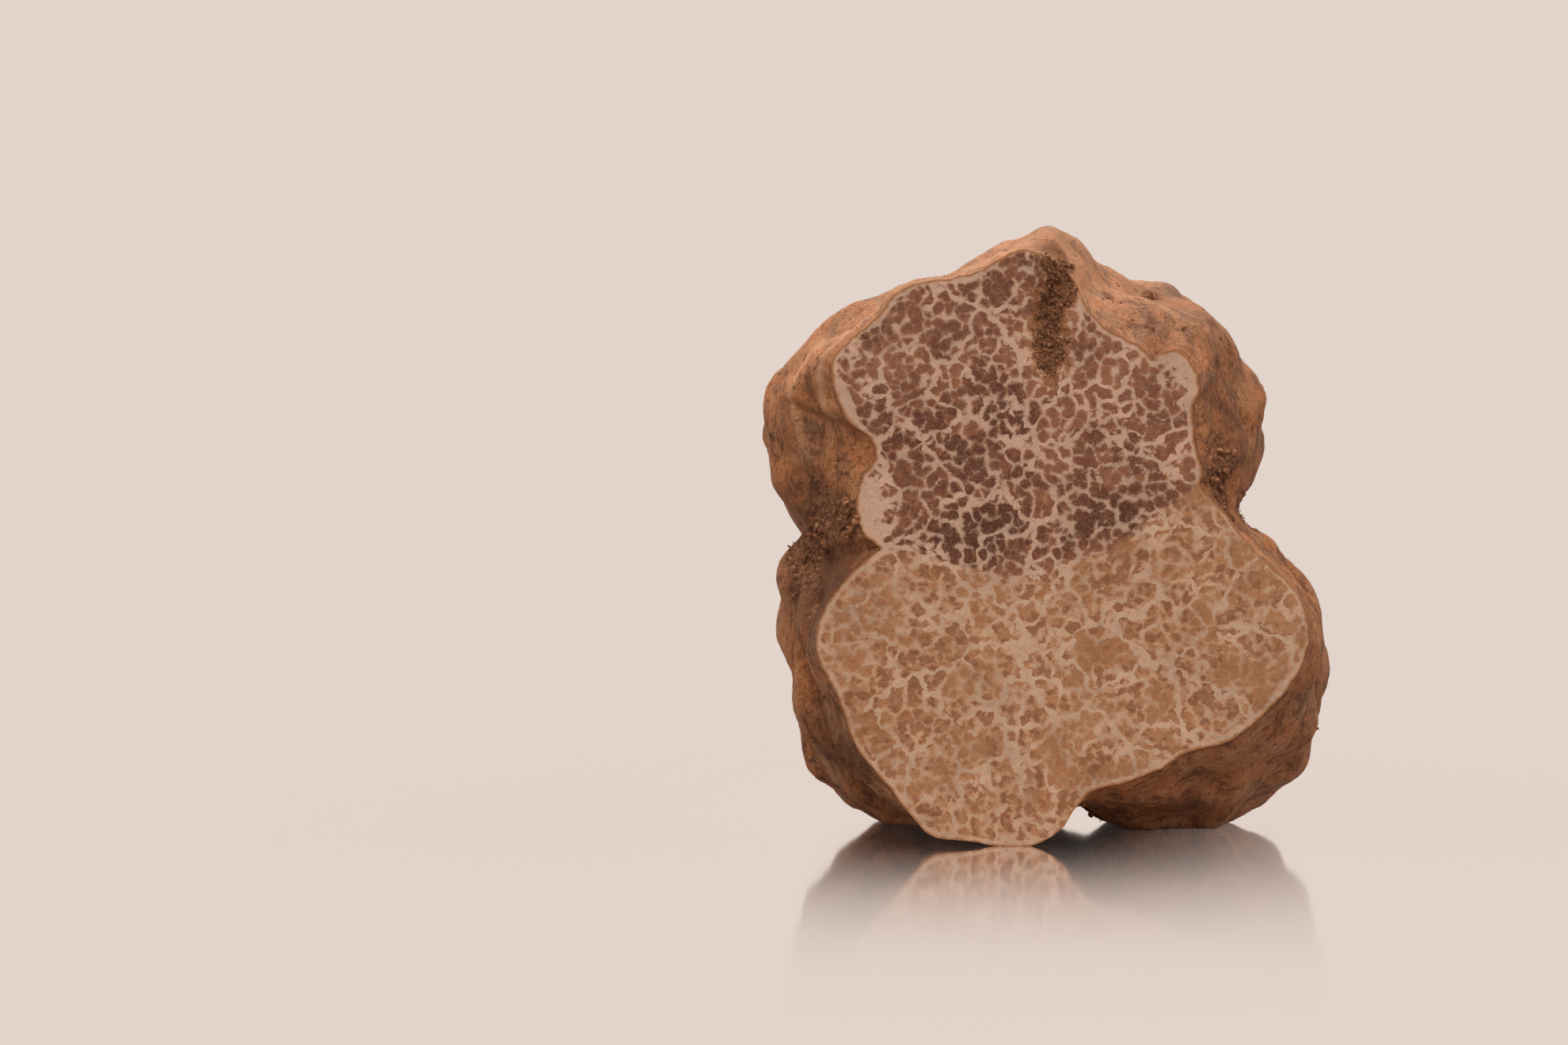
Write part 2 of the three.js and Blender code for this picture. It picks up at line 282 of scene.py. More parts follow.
# Lobes and hollows of the skin: angle round the body in degrees, how far back from 0 at the rim to 1
# at the middle of the back, reach, and height, which is negative in a hollow
lobes = [
    [192, 0.13, 8, -2.6], [186, 0.34, 9, -1.6], [352, 0.3, 8, -3.2], [277, 0.22, 7, -1.0],
    [150, 0.17, 6, 0.8], [172, 0.2, 5, 1.0], [22, 0.18, 5, 0.7], [3, 0.24, 3.5, 0.9],
    [52, 0.12, 4, 0.9], [226, 0.16, 6, 0.6], [318, 0.16, 6, 0.6], [62, 0.5, 12, 3.4],
    [118, 0.54, 11, 3.2], [88, 0.42, 6, -2.6], [160, 0.66, 12, 3.6], [208, 0.55, 8, -2.2],
    [246, 0.58, 11, 2.6], [282, 0.6, 7, -3.4], [293, 0.42, 9, -2.2], [8, 0.68, 11, 3.2],
    [338, 0.56, 7, -3.0], [74, 0.84, 9, 2.4], [198, 0.86, 9, 2.8], [318, 0.86, 9, 2.6],
    [28, 0.82, 5.5, -2.6], [136, 0.82, 5.5, -2.6], [258, 0.84, 5.5, -2.4],
]
# Furrows pressed into the skin: width, depth and the [angle, back] points that each runs through
furrows = [
    [1.7, 1.2, [[98, 0.05], [112, 0.06], [128, 0.05], [143, 0.08], [152, 0.14]]],
    [2.0, 1.1, [[126, 0.1], [143, 0.15], [157, 0.2], [170, 0.17]]],
    [1.0, 0.8, [[44, 0.15], [34, 0.16], [16, 0.15], [2, 0.14]]],
    [2.0, 1.0, [[84, 0.12], [66, 0.2], [48, 0.3], [40, 0.42]]],
    [1.7, 1.3, [[205, 0.08], [219, 0.09], [233, 0.08], [246, 0.09]]],
    [2.0, 1.2, [[203, 0.2], [220, 0.2], [238, 0.19], [252, 0.22]]],
    [2.0, 0.9, [[345, 0.13], [330, 0.16], [312, 0.15], [296, 0.2]]],
    [2.2, 1.2, [[150, 0.32], [168, 0.36], [184, 0.3]]],
    [3.0, 1.9, [[96, 0.22], [90, 0.45], [98, 0.7], [130, 0.86]]],
    [3.0, 2.1, [[186, 0.22], [190, 0.5], [180, 0.76], [134, 0.86]]],
    [3.0, 2.1, [[352, 0.22], [346, 0.45], [2, 0.74], [34, 0.85]]],
    [3.0, 2.1, [[276, 0.22], [283, 0.5], [270, 0.76], [256, 0.88]]],
    [2.6, 1.5, [[34, 0.46], [22, 0.56], [30, 0.7]]],
    [2.6, 1.5, [[222, 0.42], [232, 0.52], [226, 0.7]]],
    [2.6, 1.4, [[142, 0.46], [148, 0.6], [164, 0.82]]],
]
# Low swells over all the skin: waves along x, depth and z in turns per millimetre, phase, height
swells = [
    [(0.062, 0.031, 0.047), 0.2, 0.45], [(-0.045, 0.07, 0.03), 0.61, 0.4],
    [(0.02, -0.052, 0.083), 0.87, 0.4], [(0.105, 0.08, -0.06), 0.43, 0.22],
]
# The soil-filled cleft in the top of the cut: [x, z] down its middle
cleft = {"path": [[2.2, 75.0], [1.9, 71.5], [0.6, 67.0], [0.8, 61.5]], "halfWidth": 1.9, "depth": 3.2}


def smoothStep(start, end, x):
    # 0 up to start, 1 from end on, and 3 t^2 - 2 t^3 between them
    t = np.clip((x - start) / (end - start), 0, 1)
    return t * t * (3 - 2 * t)


def scramble(cells, seed):
    # one random number from 0 to 1 for each whole-number cell, by mixing the bits of its place
    h = cells.astype(np.int64)
    mixed = (h[..., 0] * 73856093) ^ (h[..., 1] * 19349663) ^ (h[..., 2] * 83492791) ^ (seed * 2654435761)
    mixed = (((mixed ^ (mixed >> 13)) & 0xFFFFFFFF) * 1274126177) & 0xFFFFFFFF
    mixed = ((mixed ^ (mixed >> 15)) * 2246822519) & 0xFFFFFFFF
    return ((mixed ^ (mixed >> 16)) & 0xFFFFFF) / 0x1000000


def softNoise(points, size, seed):
    # gradient noise, about -1 to 1: a random slope at each corner of cells of that size, blended smoothly
    q = points / size
    cell = np.floor(q)
    f = q - cell
    blend = f**3 * (f * (f * 6 - 15) + 10)
    height = np.zeros(len(points))
    for corner in np.ndindex(2, 2, 2):
        slope = np.stack([scramble(cell + corner, seed * 3 + k) * 2 - 1 for k in range(3)], -1)
        weight = np.where(corner, blend, 1 - blend).prod(-1)
        height += weight * (slope * (f - corner)).sum(-1)
    return height * 1.6


def layeredNoise(points, size, seed, layers):
    # each layer is half the size and half the height of the one before
    return sum(softNoise(points, size / 2.0**k, seed + k) / 2.0**k for k in range(layers))


def pitNoise(points, size, seed):
    # distance in cells to the nearest of seeds scattered one to a cell, and a random number for it
    q = points / size
    cell = np.floor(q)
    nearest = np.full(len(points), 9.0)
    chosen = np.zeros(len(points))
    for offset in np.ndindex(3, 3, 3):
        near = cell + offset - 1
        spot = near + np.stack([scramble(near, seed + k) for k in range(3)], -1)
        away = np.linalg.norm(spot - q, axis=-1)
        chosen = np.where(away < nearest, scramble(near, seed + 7), chosen)
        nearest = np.minimum(nearest, away)
    return nearest, chosen


def radiusOf(outline):
    # a closed outline as a radius about the middle: a cubic through its points, by angle
    offset = np.array(outline, float) - body["middle"]
    angle = np.arctan2(offset[:, 1], offset[:, 0]) % (2 * np.pi)
    order = angle.argsort()
    angle, radius = angle[order], np.linalg.norm(offset, axis=-1)[order]
    turn = (np.roll(angle, -1) - np.roll(angle, 1)) % (2 * np.pi)
    slope = (np.roll(radius, -1) - np.roll(radius, 1)) / turn

    def radiusAt(theta):
        t = theta % (2 * np.pi)
        a = (np.searchsorted(angle, t, side="right") - 1) % len(angle)
        b = (a + 1) % len(angle)
        span = (angle[b] - angle[a]) % (2 * np.pi)
        u = ((t - angle[a]) % (2 * np.pi)) / span
        ends = radius[a] * (1 + 2 * u) * (1 - u) ** 2 + radius[b] * u * u * (3 - 2 * u)
        return ends + span * (slope[a] * u * (1 - u) ** 2 - slope[b] * u * u * (1 - u))

    return radiusAt


plainRim, girthRadius = radiusOf(rimOutline), radiusOf(girthOutline)


def rimRadius(theta):
    # the outline with the small waver of a real edge
    ring = np.stack([20 * np.cos(theta), np.zeros_like(theta), 20 * np.sin(theta)], -1)
    return plainRim(theta) + 0.16 * softNoise(ring, 1.1, 3) + 0.1 * softNoise(ring, 0.5, 4)


def roundedGirth(theta):
    # the girth with its notches evened out, which the back follows
    return sum(girthRadius(theta + radians(d)) for d in (-36, -24, -12, 0, 12, 24, 36)) / 7


def plainSkin(theta, back):
    # rim to girth: the radius swells as a quarter sine. Girth to back: a superellipse closes it.
    rim, girth = rimRadius(theta), girthRadius(theta)
    girthDepth = body["girthDepthMean"] + body["girthDepthSwing"] * np.cos(
        theta - radians(body["girthDeepestAngle"]))
    t = np.minimum(back / body["flareShare"], 1)
    turn = np.clip((back - body["flareShare"]) / (1 - body["flareShare"]), 0, 1) * np.pi / 2
    c, s = np.cos(turn), np.sin(turn)
    reach = (c ** body["domePower"] + s ** body["domePower"]) ** (-1 / body["domePower"])
    flare = rim + (girth - rim) * np.sin(t * np.pi / 2)
    dome = (girth + (roundedGirth(theta) - girth) * s * s) * reach * c
    inFlare = back < body["flareShare"]
    radius = np.where(inFlare, flare, dome)
    depth = np.where(inFlare, girthDepth * t, girthDepth + (body["depth"] - girthDepth) * reach * s)
    shift = smoothStep(0.15, 1, depth / body["depth"])
    x = body["middle"][0] + body["backShift"][0] * shift + radius * np.cos(theta)
    z = body["middle"][1] + body["backShift"][2] * shift + radius * np.sin(theta)
    return np.stack([x, depth, z], -1)


def distanceToPath(points, path):
    # distance to the nearest of the points sampled along a path of [angle, back]
    samples = []
    u = np.arange(body["furrowSteps"] + 1) / body["furrowSteps"]
    for (angle, back), (nextAngle, nextBack) in zip(path, path[1:]):
        turn = (nextAngle - angle + 540) % 360 - 180
        samples.append(plainSkin(np.radians(angle + turn * u), back + (nextBack - back) * u))
    samples = np.concatenate(samples)
    square = (points**2).sum(1)[:, None] + (samples**2).sum(1) - 2 * points @ samples.T
    return np.sqrt(np.maximum(square.min(1), 0))


def bellAt(points, angle, back, reach):
    # 1 at that place on the skin, and exp(-(distance / reach)^2) away from it
    centre = plainSkin(np.array([radians(angle)]), np.array([back]))
    return np.exp(-((points - centre) ** 2).sum(1) / reach**2)


def bellAlong(points, path, width):
    # 1 on the path, and exp(-(distance / width)^2) away from it
    return np.exp(-((distanceToPath(points, path) / width) ** 2))


def outwardOf(points):
    # the way from the core out through each point, of length 1
    outward = points - body["core"]
    return outward / np.linalg.norm(outward, axis=1, keepdims=True)


def skinPlace(theta, back, points):
    # where grain that runs round the body is read: the way back from the rim, and less than half of x and z
    flareLength = np.hypot(body["girthDepthMean"], girthRadius(theta) - plainRim(theta))
    way = np.minimum(back / body["flareShare"], 1) * flareLength
    way += np.clip(back - body["flareShare"], 0, 1) * body["domeLength"]
    return np.stack([points[:, 0] * body["grainStretch"], way, points[:, 2] * body["grainStretch"]], -1)


def mainRelief(points, back):
    # lobes and hollows are bells, furrows are grooves with a bell section, swells are sines
    height = np.zeros(len(points))
    for angle, centreBack, reach, rise in lobes:
        height += rise * bellAt(points, angle, centreBack, reach)
    for width, depth, path in furrows:
        height -= depth * bellAlong(points, path, width)
    for wave, phase, rise in swells:
        height += rise * np.sin(2 * np.pi * (points @ np.array(wave) + phase))
    return height * smoothStep(0, 0.1, back)


def distanceToLine(points, line):
    # distance in the cut's plane to a line of [x, z] points, and the side: 1 left of it, -1 right
    best, side = np.full(len(points), np.inf), np.zeros(len(points))
    for a, b in zip(np.array(line, float), np.array(line[1:], float)):
        u = np.clip((points - a) @ (b - a) / ((b - a) @ (b - a)), 0, 1)
        away = np.linalg.norm(points - a - u[:, None] * (b - a), axis=-1)
        turn = np.sign((b - a)[0] * (points - a)[:, 1] - (b - a)[1] * (points - a)[:, 0])
        side = np.where(away < best, turn, side)
        best = np.minimum(best, away)
    return best, side


def cleftDepth(xz):
    # a smooth groove about its path, which deepens towards the top
    away = distanceToLine(xz, cleft["path"])[0] / cleft["halfWidth"]
    return cleft["depth"] * smoothStep(2, 0, away) * smoothStep(58, 72, xz[:, 1])


# Fine relief of the skin, which the solid leaves out. Heights are in millimetres.
skinRelief = {
    "lump": 0.24,  # bumps 4 mm across, with smaller ones on them
    "wrinkle": 0.07,  # folds that run round the body, side by side
    "wrinkleGap": 1.7,
    "wart": 0.16,  # round bumps on the skin
    "wartGap": 3.0,
    "pit": 0.25,
    "pitGap": 3.6,
    "grit": 0.16,
}
# Sharp crests: width, height and the [angle, back] points that each runs through
crests = [
    [0.55, 0.55, [[100, 0.03], [113, 0.033], [128, 0.028], [140, 0.035], [150, 0.04], [158, 0.05]]],
    [0.6, 0.4, [[140, 0.09], [150, 0.12], [160, 0.13], [170, 0.11]]],
    [0.5, 0.35, [[208, 0.05], [222, 0.055], [236, 0.05], [246, 0.05]]],
    [0.5, 0.3, [[210, 0.13], [224, 0.14], [238, 0.13]]],
    [0.5, 0.3, [[350, 0.06], [335, 0.07], [322, 0.075], [310, 0.08]]],
]
# Where soil clings, and where the skin is painted darker, partly as stain and partly as painted shade:
# [angle, back, reach, amount]
soilSpots = [
    [184, 0.03, 4.5, 0.75], [187, 0.08, 5, 0.6], [196, 0.16, 6, 0.5], [172, 0.04, 3, 0.5],
    [20, 0.03, 3.5, 0.75], [8, 0.05, 4, 0.9], [354, 0.14, 5, 0.9], [358, 0.07, 4, 0.8],
    [28, 0.02, 2.5, 0.6], [225, 0.03, 5, 0.4], [280, 0.12, 8, 0.7], [318, 0.14, 5, 0.45],
    [72, 0.1, 1.4, 0.9], [64, 0.13, 1.4, 0.9],
    [61, 0.24, 1.3, 0.8], [58, 0.05, 1.6, 0.6], [50, 0.07, 1.6, 0.6], [84, 0.02, 1.7, 0.9],
    [200, 0.55, 9, 0.5], [350, 0.5, 8, 0.5], [96, 0.6, 8, 0.3],
]
shadeAndStainSpots = [
    [203, 0.05, 9, 1.0], [231, 0.07, 9, 0.8], [248, 0.06, 6, 0.7], [186, 0.08, 7, 0.7], [300, 0.12, 8, 0.25],
    [330, 0.14, 6, 0.3], [46, 0.12, 9, 0.4], [20, 0.1, 6, 0.7], [62, 0.06, 4, 0.4], [160, 0.1, 4, 0.3],
]


def nearSpots(points, spots):
    # the strongest of round bells about each spot's place on the skin
    best = np.zeros(len(points))
    for angle, back, reach, amount in spots:
        best = np.maximum(best, amount * bellAt(points, angle, back, reach))
    return best


def skinPoints(theta, back):
    # the solid's own skin, then crests, lumps, wrinkles, warts, pits and grit, pushed away from the core
    plain = plainSkin(theta, back)
    main = mainRelief(plain, back)
    patchy = layeredNoise(plain, 5, 20, 3)
    hollow = smoothStep(-0.2, -2.2, main)
    soil = smoothStep(0.2, 0.8, nearSpots(plain, soilSpots) + 0.35 * hollow + 0.35 * patchy)
    # dark: stain and painted shade in the spots, and painted shade in the hollows of the main relief
    dark = np.clip(nearSpots(plain, shadeAndStainSpots) + 0.3 * hollow, 0, 1)
    crest = sum(rise * bellAlong(plain, path, width) for width, rise, path in crests)

    fine = skinRelief
    along = skinPlace(theta, back, plain)
    bent = along + 0.35 * np.stack([softNoise(plain, 4, 33 + k) for k in range(3)], -1)
    ridges = 0.8 - 2.2 * np.abs(softNoise(bent, fine["wrinkleGap"], 40))
    ridges += 0.5 * (0.8 - 2.2 * np.abs(softNoise(bent, fine["wrinkleGap"] / 2, 41)))
    wrinkled = smoothStep(-0.4, 0.5, softNoise(plain, 9, 42) + 0.1)
    away, chance = pitNoise(plain, fine["pitGap"], 50)
    pits = -smoothStep(0.3, 0.08, away) * (chance > 0.5)
    away, chance = pitNoise(plain + 0.6 * patchy[:, None], fine["wartGap"], 55)
    warts = smoothStep(0.5, 0.1, away) * (chance > 0.4) * chance
    grit = softNoise(plain, 0.9, 60) + 0.6 * softNoise(plain, 0.5, 61)
    height = crest + fine["lump"] * layeredNoise(plain, 4, 30, 4)
    height = height + fine["wrinkle"] * ridges * wrinkled * (1 - 0.7 * soil)
    height += fine["pit"] * pits + fine["wart"] * warts + fine["grit"] * grit * (0.22 + soil)
    main = main + height * smoothStep(0, 0.02, back)

    points = plain + outwardOf(plain) * main[:, None]
    points[:, 1] += cleftDepth(points[:, [0, 2]]) * smoothStep(0.1, 0, back)
    points[:, 2] = np.maximum(points[:, 2], 0)
    crestShare = smoothStep(0.1, 0.5, crest)
    return points, {"soil": soil, "dark": dark, "crest": crestShare, "relief": height, "along": along}


# Marbling of the cut. The flesh material draws dark cells with pale veins between them, and these values
# say which flesh is where. Cells are drawn out away from the heart of their flesh.
marbling = {
    "upperHeart": (-3, 52),
    "lowerHeart": (-4, 26),
    "threads": 14,  # more puts more threads round a heart
    "threadShare": 0.22,  # how fast they change along their length
    "rimWidth": 0.4,  # of the pale band along the rim
    "rimWaver": 0.5,
    "rimPale": 1.2,
    "linePale": 0.45,  # of the pale band on the line between the two fleshes
    "rimSamples": 900,
}
# The line between the dark upper flesh and the tan lower flesh
zoneLine = [
    [-24, 37.7], [-20.7, 37.7], [-16.8, 38.1], [-11.8, 35.6], [-7.8, 34.6], [-0.8, 33.6],
    [2.7, 36.1], [8.2, 37.6], [13.2, 41.1], [19.7, 46.1], [24, 48],
]
# Patches of the cut: x, z, half width, half height, amount. Pale ones have no cells.
palePatches = [[-22.4, 42, 1.7, 3.8, 2.4], [16.6, 60.6, 2.2, 2.0, 0.5], [3, 42, 1.2, 5, 0.35]]
wideRims = [[-24.5, 57, 3, 4, 1.0], [17, 60, 3, 3, 0.8]]
grainyPatches = [[-3, 63, 5, 4, 0.8], [11, 53, 6, 7, 1.0], [5, 47, 5, 4, 0.6], [-14, 51, 5, 4, 0.2]]
deepPatches = [
    [-15, 52, 7, 6, 0.7], [-9, 40, 9, 5.5, 1.0], [-4, 55, 4, 8, 0.6],
    [9, 41.5, 6, 4, 0.7], [13, 56, 8, 9, 0.3],
]


def flat(xz):
    # places on the cut as points in space
    return np.stack([xz[:, 0], np.zeros(len(xz)), xz[:, 1]], -1)


def patchSum(xz, patches):
    # the sum of oval bells
    return sum(amount * np.exp(-((xz[:, 0] - x) / width) ** 2 - ((xz[:, 1] - z) / height) ** 2)
               for x, z, width, height, amount in patches)


def lowerShare(xz):
    # 0 in the dark upper flesh, 1 in the tan lower flesh, with a wavering line between them
    away, side = distanceToLine(xz, zoneLine)
    return away, smoothStep(0.5, -0.5, away * side + 0.9 * softNoise(flat(xz), 3, 40))


def distanceToRim(xz):
    # distance to the nearest of the points sampled along the rim, worked out part by part
    theta = np.linspace(0, 2 * np.pi, marbling["rimSamples"], endpoint=False)
    rim = np.stack([np.cos(theta), np.sin(theta)], -1) * rimRadius(theta)[:, None] + body["middle"]
    return np.concatenate([
        np.sqrt(np.maximum((part**2).sum(1)[:, None] + (rim**2).sum(1) - 2 * part @ rim.T, 0).min(1))
        for part in np.array_split(xz, 8)])


def streakPlace(xz, lower):
    # where fine threads read their noise: fast round the heart of the lobe and slow away from it
    m = marbling
    offset = xz - m["upperHeart"] - lower[:, None] * (np.array(m["lowerHeart"]) - m["upperHeart"])
    away = np.linalg.norm(offset, axis=1) + 0.01
    waver = 0.5 * softNoise(flat(xz), 4, 58)
    out = m["threads"] * offset / away[:, None] + waver[:, None]
    return np.stack([out[:, 0], out[:, 1], m["threadShare"] * away], -1)


def marble(xz):
    # what the flesh material reads at each point of the cut
    m = marbling
    where = flat(xz)
    rimGap = distanceToRim(xz)
    boundary, lower = lowerShare(xz)
    rimWidth = m["rimWidth"] + m["rimWaver"] * softNoise(where, 6, 70) + patchSum(xz, wideRims)
    pale = m["rimPale"] * smoothStep(rimWidth + 0.5, rimWidth - 0.4, rimGap)
    onLine = smoothStep(6, -2, xz[:, 0]) * smoothStep(0.5, 0.05, boundary)
    pale += patchSum(xz, palePatches) + m["linePale"] * onLine
    cleftGap = distanceToLine(xz, cleft["path"])[0]
    soil = smoothStep(3.8, 0.2, cleftGap + 1.3 * layeredNoise(where, 2.5, 75, 3))
    return {
        "pale": pale,
        "lower": lower,
        "rimGap": rimGap,
        "grain": np.clip(patchSum(xz, grainyPatches), 0, 1),
        "deep": np.clip(patchSum(xz, deepPatches), 0, 1),
        "soil": soil * smoothStep(55, 61, xz[:, 1]),
        "streak": streakPlace(xz, lower),
    }


# Mesh steps. Ring lengths: the cut and the flare have 8 x cutRings points, the rest half as many.
steps = {"cutRings": 96, "flareRings": 36, "flareSpread": 1.25, "sideRings": 64, "capStart": 0.63}


def quilt(rings):
    # A round patch from a square grid: ring k of the grid is a ring of 8k points round the middle.
    # Returns each point's angle and ring, the triangles, and the outer ring's points in order.
    i, j = np.indices((2 * rings + 1, 2 * rings + 1)).reshape(2, -1) - rings
    ring = np.maximum(np.abs(i), np.abs(j))
    k = np.maximum(ring, 1)
    eighths = np.select([i == ring, j == ring, i == -ring], [j / k, 2 - i / k, 4 - j / k], 6 + i / k)
    theta = (eighths * np.pi / 4) % (2 * np.pi)
    outer = np.flatnonzero(ring == rings)
    outer = outer[theta[outer].round(6).argsort()]
    a = (np.arange(2 * rings)[:, None] * (2 * rings + 1) + np.arange(2 * rings)).ravel()
    b, c, d = a + 2 * rings + 1, a + 2 * rings + 2, a + 1
    same = ((i[a] < 0) == (j[a] < 0))[:, None]
    first = np.where(same, np.stack([a, b, c], -1), np.stack([a, b, d], -1))
    second = np.where(same, np.stack([a, c, d], -1), np.stack([b, c, d], -1))
    return theta, ring / rings, np.concatenate([first, second]), outer


def band(front, behind):
    # triangles between two rings of one length
    f, b = np.roll(front, -1), np.roll(behind, -1)
    return np.concatenate([np.stack([front, b, f], -1), np.stack([front, behind, b], -1)])


def halvingBand(front, behind):
    # triangles between a ring and one half as long
    a, middle, c = front[0::2], front[1::2], np.roll(front, -2)[0::2]
    b, d = behind, np.roll(behind, -1)
    return np.concatenate([np.stack(t, -1) for t in ((a, b, middle), (middle, b, d), (middle, d, c))])


def truffleArrays():
    # points and faces of the cut and the skin, with what the materials read at each point. A quilt makes
    # the cut, rings run from its rim to the back, and a smaller quilt closes them.
    rings = steps["cutRings"]
    cutTheta, cutShare, cutFaces, rim = quilt(rings)
    flareBack = np.arange(1, steps["flareRings"] + 1) / steps["flareRings"]
    flareBack = body["flareShare"] * flareBack ** steps["flareSpread"]
    sideBack = np.linspace(body["flareShare"], steps["capStart"], steps["sideRings"] + 1)[1:]
    capTheta, capShare, capFaces, capRim = quilt(rings // 2)

    theta, back, faces = [], [], []
    count = len(cutTheta)
    last = rim
    for level, length in [(b, 8 * rings) for b in flareBack] + [(b, 4 * rings) for b in sideBack]:
        ring = np.arange(length) + count
        count += length
        theta.append(np.arange(length) / length * 2 * np.pi)
        back.append(np.full(length, level))
        faces.append(band(last, ring) if length == len(last) else halvingBand(last, ring))
        last = ring
    inner = np.setdiff1d(np.arange(len(capTheta)), capRim)
    index = np.empty(len(capTheta), int)
    index[inner] = np.arange(len(inner)) + count
    index[capRim] = last
    theta.append(capTheta[inner])
    back.append(1 - (1 - steps["capStart"]) * capShare[inner])
    skinFaces = np.concatenate(faces + [index[capFaces][:, ::-1]])

    radius = rimRadius(cutTheta) * cutShare
    xz = np.stack([radius * np.cos(cutTheta), radius * np.sin(cutTheta)], -1) + body["middle"]
    flesh = marble(xz)
    print("marbling worked out")
    skinTheta, skinBack = np.concatenate(theta), np.concatenate(back)
    skin, looks = skinPoints(skinTheta, skinBack)
    print("skin worked out")

    where = flat(xz)
    inner = smoothStep(0, 0.6, flesh["rimGap"])
    depth = cleftDepth(xz) + inner * (0.07 * softNoise(where, 9, 80) + 0.02 * softNoise(where, 0.9, 81))
    depth -= inner * flesh["soil"] * (0.35 * softNoise(where, 1.3, 82) + 0.25 * softNoise(where, 0.6, 83))
    cut = np.stack([xz[:, 0], depth, np.maximum(xz[:, 1], 0)], -1)
    values = {}
    for name in {**flesh, **looks}:
        like = flesh.get(name, looks.get(name))[:1] * 0
        onCut = flesh.get(name, np.repeat(like, len(cut), 0))
        onSkin = looks.get(name, np.repeat(like, len(skin), 0))
        values[name] = np.concatenate([onCut, onSkin])
    points = np.concatenate([cut, skin])
    way = np.concatenate([np.zeros(len(cut)), looks["along"][:, 1]])
    allTheta = np.concatenate([cutTheta, skinTheta])
    toMiddle = np.concatenate([np.ones(len(cut)), (1 - skinBack) / (1 - steps["capStart"])])
    onPicture = flatMap(points, allTheta, way, toMiddle, (cutFaces, skinFaces, len(capFaces)))
    return points, cutFaces, skinFaces, values, onPicture


pictureMap = {
    "cutScale": 0.0086,
    "cutCorner": 0.006,
    "stripStart": 0.58,
    "stripWidth": 0.4,
    "stripLength": 0.985,
    "discRadius": 0.155,
    "discMiddle": (0.165, 0.835),
}


def flatMap(points, theta, way, toMiddle, faces):
    # Where each corner of each face lies on a flat picture: the cut as it is seen, the skin as a strip
    # from the rim back, and the middle of the back as a disc
    layout = pictureMap
    cutFaces, skinFaces, capCount = faces
    bandFaces, capFaces = skinFaces[:-capCount], skinFaces[-capCount:]
    low = points[np.unique(cutFaces)].min(0)
    onCut = (points[:, [0, 2]] - low[[0, 2]]) * layout["cutScale"] + layout["cutCorner"]
    turn = theta[bandFaces] / (2 * np.pi)
    turn += (turn < 0.25) & (turn.max(1, keepdims=True) > 0.75)
    backwards = way[bandFaces] / way[np.unique(bandFaces)].max()
    onBand = np.stack([layout["stripStart"] + layout["stripWidth"] * backwards,
                       layout["cutCorner"] + layout["stripLength"] * turn], -1)
    ring = np.stack([np.cos(theta), np.sin(theta)], -1) * toMiddle[:, None]
    onCap = layout["discRadius"] * ring + layout["discMiddle"]
    return np.concatenate([onCut[cutFaces], onBand, onCap[capFaces]]).reshape(-1, 2)


def placedAs(whole, points):
    # from the shape's own millimetres to the frame's metres: the cut is the solid's front, and the whole
    # truffle is centred from side to side
    middleX = (whole[:, 0].min() + whole[:, 0].max()) / 2
    return (points - (middleX, 0, 0) + (0, lowCorner[1], 0)) * mm


def makeMesh(name, points, faces):
    mesh = bpy.data.meshes.new(name)
    mesh.vertices.add(len(points))
    mesh.vertices.foreach_set("co", points.astype(np.float32).ravel())
    mesh.loops.add(faces.size)
    mesh.loops.foreach_set("vertex_index", faces.astype(np.int32).ravel())
    mesh.polygons.add(len(faces))
    mesh.polygons.foreach_set("loop_start", np.arange(0, faces.size, 3, dtype=np.int32))
    mesh.update(calc_edges=True)
    mesh.shade_smooth()
    return mesh


def addPiece(name, mesh, material, replacing=None):
    piece = bpy.data.objects.new(name, mesh)
    bpy.context.collection.objects.link(piece)
    for each in np.atleast_1d(material):
        mesh.materials.append(each)
    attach(piece, "root")
    if replacing:
        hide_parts(replacing)
    return piece


# Node groups that several of the materials use
def newGroup(name, inputs, outputs):
    group = bpy.data.node_groups.new(name, "ShaderNodeTree")
    for label, kind, value in inputs:
        socket = group.interface.new_socket(label, in_out="INPUT", socket_type="NodeSocket" + kind)
        if value is not None:
            socket.default_value = value
    for label, kind in outputs:
        group.interface.new_socket(label, in_out="OUTPUT", socket_type="NodeSocket" + kind)
    return group, group.nodes.new("NodeGroupInput").outputs, group.nodes.new("NodeGroupOutput").inputs


def useGroup(tree, group, **inputs):
    node = tree.nodes.new("ShaderNodeGroup")
    node.node_tree = group
    for name, value in inputs.items():
        feed(tree, node.inputs[name], value)
    return node.outputs


def makeGritGroup():
    # soil: packed grains, some of them bright, with their height
    group, given, out = newGroup(
        "grit", [("Where", "Vector", None), ("Dark", "Color", (0.05, 0.025, 0.014, 1)),
                 ("Light", "Color", (0.2, 0.1, 0.05, 1))],
        [("Color", "Color"), ("Height", "Float")])
    where = given["Where"]
    grains = addNode(group, "TexVoronoi", {"Vector": where, "Scale": 2.6, "Randomness": 1.0})
    fibres = noise(group, where, 1.1, 4.0, 0.6, 1.4)
    spread = math(group, "ADD", times(group, grains.outputs["Color"], 0.55), fibres)
    colour = mixColour(group, ramp(group, spread, 0.45, 1.05), given["Dark"], given["Light"])
    sparkle = ramp(group, noise(group, where, 0.28, 2.0), 0.66, 0.74)
    colour = mixColour(group, times(group, sparkle, 0.5), colour, (0.33, 0.2, 0.12))
    feed(group, out["Color"], colour)
    height = math(group, "SUBTRACT", fibres, times(group, grains.outputs["Distance"], 0.8))
    feed(group, out["Height"], height)
    return group


